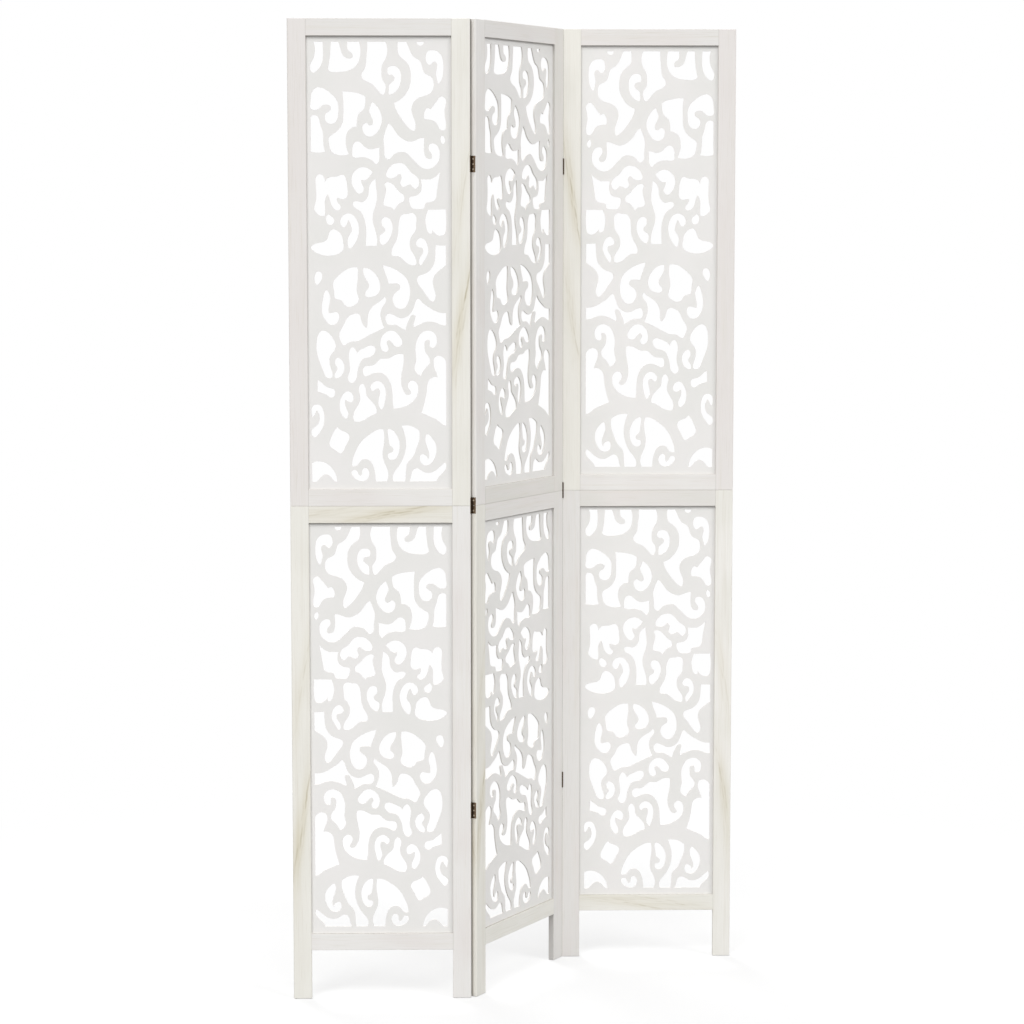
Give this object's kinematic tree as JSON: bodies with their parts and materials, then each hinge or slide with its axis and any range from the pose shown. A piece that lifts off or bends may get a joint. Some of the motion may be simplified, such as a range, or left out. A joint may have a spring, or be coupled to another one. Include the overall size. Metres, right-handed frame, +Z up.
{
  "type": "folding room divider",
  "caption": "Folding room divider of hinged white-washed wood frames on legs, each frame holding a board cut through with vine scrolls.",
  "frame": {"origin": "on the floor, under the middle of the divider's bounding box as it stands folded out", "axes": "+Z up, +X to the right along the outer panels, +Y from the front of the divider to its back"},
  "size_m": [1.0236, 0.3656, 2.2],
  "materials": {
    "frame_wood": "white-washed, open grain, matt",
    "fret_board": "smooth off-white paint, matt",
    "hinge_metal": "dark antique bronze",
    "screw_metal": "worn bronze",
    "dowel_wood": "bare wood"
  },
  "bodies": {
    "left_panel": {"left_upper_left_stile": "frame_wood", "left_upper_right_stile": "frame_wood", "left_upper_top_rail": "frame_wood", "left_upper_bottom_rail": "frame_wood", "left_lower_left_stile": "frame_wood", "left_lower_right_stile": "frame_wood", "left_lower_top_rail": "frame_wood", "left_lower_bottom_rail": "frame_wood", "left_upper_fretwork": "fret_board", "left_lower_fretwork": "fret_board", "left_corner_dowels": "dowel_wood", "left_section_dowels": "dowel_wood", "left_fold_top_left_leaf": "hinge_metal", "left_fold_middle_left_leaf": "hinge_metal", "left_fold_bottom_left_leaf": "hinge_metal", "left_fold_left_screws": "screw_metal"},
    "middle_panel": {"middle_upper_left_stile": "frame_wood", "middle_upper_right_stile": "frame_wood", "middle_upper_top_rail": "frame_wood", "middle_upper_bottom_rail": "frame_wood", "middle_lower_left_stile": "frame_wood", "middle_lower_right_stile": "frame_wood", "middle_lower_top_rail": "frame_wood", "middle_lower_bottom_rail": "frame_wood", "middle_upper_fretwork": "fret_board", "middle_lower_fretwork": "fret_board", "middle_corner_dowels": "dowel_wood", "middle_section_dowels": "dowel_wood", "left_fold_top_right_leaf": "hinge_metal", "left_fold_middle_right_leaf": "hinge_metal", "left_fold_bottom_right_leaf": "hinge_metal", "left_fold_right_screws": "screw_metal", "left_fold_top_pin": "hinge_metal", "left_fold_middle_pin": "hinge_metal", "left_fold_bottom_pin": "hinge_metal", "right_fold_top_left_leaf": "hinge_metal", "right_fold_middle_left_leaf": "hinge_metal", "right_fold_bottom_left_leaf": "hinge_metal", "right_fold_left_screws": "screw_metal", "right_fold_top_pin": "hinge_metal", "right_fold_middle_pin": "hinge_metal", "right_fold_bottom_pin": "hinge_metal"},
    "right_panel": {"right_upper_left_stile": "frame_wood", "right_upper_right_stile": "frame_wood", "right_upper_top_rail": "frame_wood", "right_upper_bottom_rail": "frame_wood", "right_lower_left_stile": "frame_wood", "right_lower_right_stile": "frame_wood", "right_lower_top_rail": "frame_wood", "right_lower_bottom_rail": "frame_wood", "right_upper_fretwork": "fret_board", "right_lower_fretwork": "fret_board", "right_corner_dowels": "dowel_wood", "right_section_dowels": "dowel_wood", "right_fold_top_right_leaf": "hinge_metal", "right_fold_middle_right_leaf": "hinge_metal", "right_fold_bottom_right_leaf": "hinge_metal", "right_fold_right_screws": "screw_metal"}
  },
  "joints": [
    {"name": "left_fold", "type": "hinge", "parent": "middle_panel", "child": "left_panel", "pos_m": [-0.10966, -0.16872, 0], "axis": [0, 0, 1], "range_deg": [-121, 59]},
    {"name": "right_fold", "type": "hinge", "parent": "middle_panel", "child": "right_panel", "pos_m": [0.10966, 0.16872, 0], "axis": [0, 0, 1], "range_deg": [-121, 59]}
  ]
}
